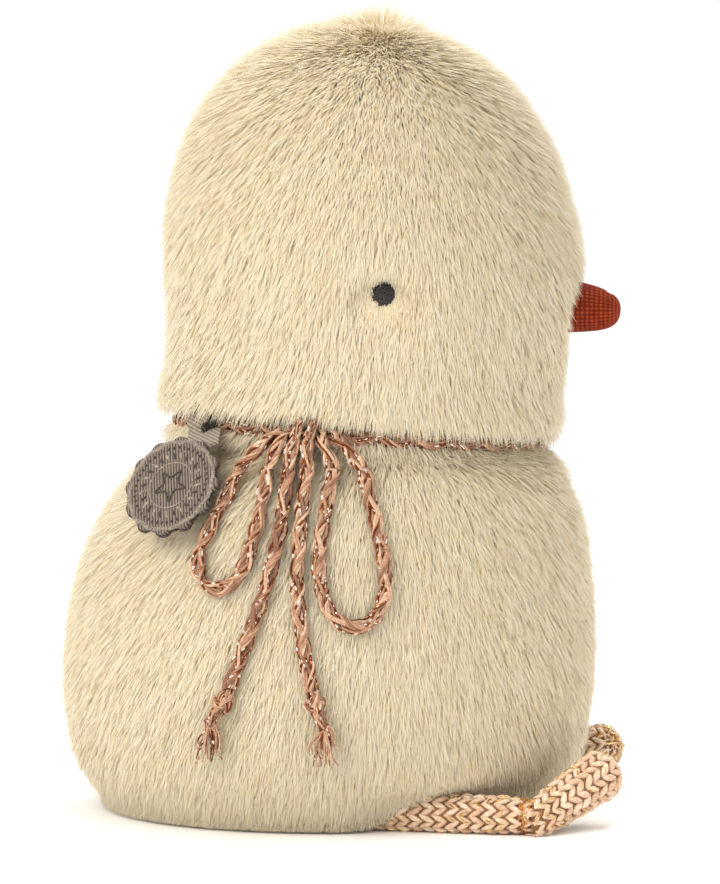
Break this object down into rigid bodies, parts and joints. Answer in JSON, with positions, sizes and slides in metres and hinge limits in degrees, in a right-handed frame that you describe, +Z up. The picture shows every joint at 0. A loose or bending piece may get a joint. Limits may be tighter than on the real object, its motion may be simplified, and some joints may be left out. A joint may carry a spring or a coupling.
{
  "type": "plush chick",
  "caption": "Stuffed chick of pale pile fabric with a cinched neck, linen beak, knitted feet, a bow of metallic cord and a hanging woven label.",
  "frame": {"origin": "on the base's rest face, on the middle plane, 2.7 mm behind the neck's centre", "axes": "+X to the front, where the beak points, +Y to the chick's left, +Z up"},
  "size_m": [0.1116, 0.1015, 0.1582],
  "materials": {
    "plush": "long soft pile, combed down",
    "wadding": "loose polyester fibre",
    "linen": "plain weave linen",
    "black_thread": "matt cotton thread",
    "pouch_cotton": "calico",
    "pellets": "smooth pellets",
    "metallic_cord": "chain-knitted yarn with metallic thread",
    "woven_label": "dense woven twill",
    "label_backing": "felt",
    "ribbon": "ribbed tape",
    "knit": "knitted cotton cord with gold thread",
    "binding_thread": "twisted thread"
  },
  "bodies": {
    "torso": {"torso_panel_right": "plush", "torso_panel_left": "plush", "base_panel": "plush", "torso_stuffing": "wadding", "pellet_pouch": "pouch_cotton", "pellet_fill": "pellets", "neck_cord": "metallic_cord", "bow_knot": "metallic_cord", "foot_right": "knit", "foot_left": "knit", "foot_filling_right": "wadding", "foot_filling_left": "wadding", "toe_binding_right": "binding_thread", "toe_binding_left": "binding_thread"},
    "head": {"head_panel_right": "plush", "head_panel_left": "plush", "head_stuffing": "wadding", "beak_cover": "linen", "beak_filling": "wadding", "eye_right": "black_thread", "eye_left": "black_thread", "eye_thread": "black_thread"},
    "tag": {"tag_front": "woven_label", "tag_back": "label_backing", "tag_ribbon": "ribbon", "tag_tack": "black_thread"},
    "bow_loop_rear": {"bow_loop_rear": "metallic_cord"},
    "bow_loop_front": {"bow_loop_front": "metallic_cord"},
    "bow_tail_rear": {"bow_tail_rear": "metallic_cord", "tail_knot_rear": "metallic_cord", "tail_fray_rear": "metallic_cord"},
    "bow_tail_front": {"bow_tail_front": "metallic_cord", "tail_knot_front": "metallic_cord", "tail_fray_front": "metallic_cord"},
    "toe_right": {"toe_right": "knit", "toe_filling_right": "wadding"},
    "toe_left": {"toe_left": "knit", "toe_filling_left": "wadding"}
  },
  "joints": [
    {"name": "head_turn", "type": "hinge", "parent": "torso", "child": "head", "pos_m": [0.0027, 0, 0.0759], "axis": [0.0776, 0, 0.997], "range_deg": [-20, 20], "stiffness_Nm_per_rad": 0.05},
    {"name": "tag_swing", "type": "hinge", "parent": "torso", "child": "tag", "pos_m": [-0.02498, -0.02346, 0.07805], "axis": [-0.6435, 0.7638, 0.0501], "range_deg": [0, 70]},
    {"name": "bow_loop_rear_swing", "type": "hinge", "parent": "torso", "child": "bow_loop_rear", "pos_m": [-0.01375, -0.0399, 0.06995], "axis": [-0.9397, 0.3417, -0.0171], "range_deg": [0, 5]},
    {"name": "bow_loop_front_swing", "type": "hinge", "parent": "torso", "child": "bow_loop_front", "pos_m": [0.00445, -0.0421, 0.0698], "axis": [-0.9993, -0.0363, 0], "range_deg": [0, 55]},
    {"name": "bow_tail_rear_swing", "type": "hinge", "parent": "torso", "child": "bow_tail_rear", "pos_m": [-0.0071, -0.0415, 0.0698], "axis": [-0.9988, 0.0499, 0], "range_deg": [0, 55]},
    {"name": "bow_tail_front_swing", "type": "hinge", "parent": "torso", "child": "bow_tail_front", "pos_m": [-0.0034, -0.042, 0.0698], "axis": [-1, 0, 0], "range_deg": [0, 55]},
    {"name": "toe_right_lift", "type": "hinge", "parent": "torso", "child": "toe_right", "pos_m": [0.04115, -0.036, 0.0035], "axis": [0.7547, -0.6561, 0], "range_deg": [-12, 35], "stiffness_Nm_per_rad": 0.01},
    {"name": "toe_left_lift", "type": "hinge", "parent": "torso", "child": "toe_left", "pos_m": [0.04115, 0.036, 0.0035], "axis": [-0.7547, -0.6561, 0], "range_deg": [-12, 35], "stiffness_Nm_per_rad": 0.01}
  ]
}
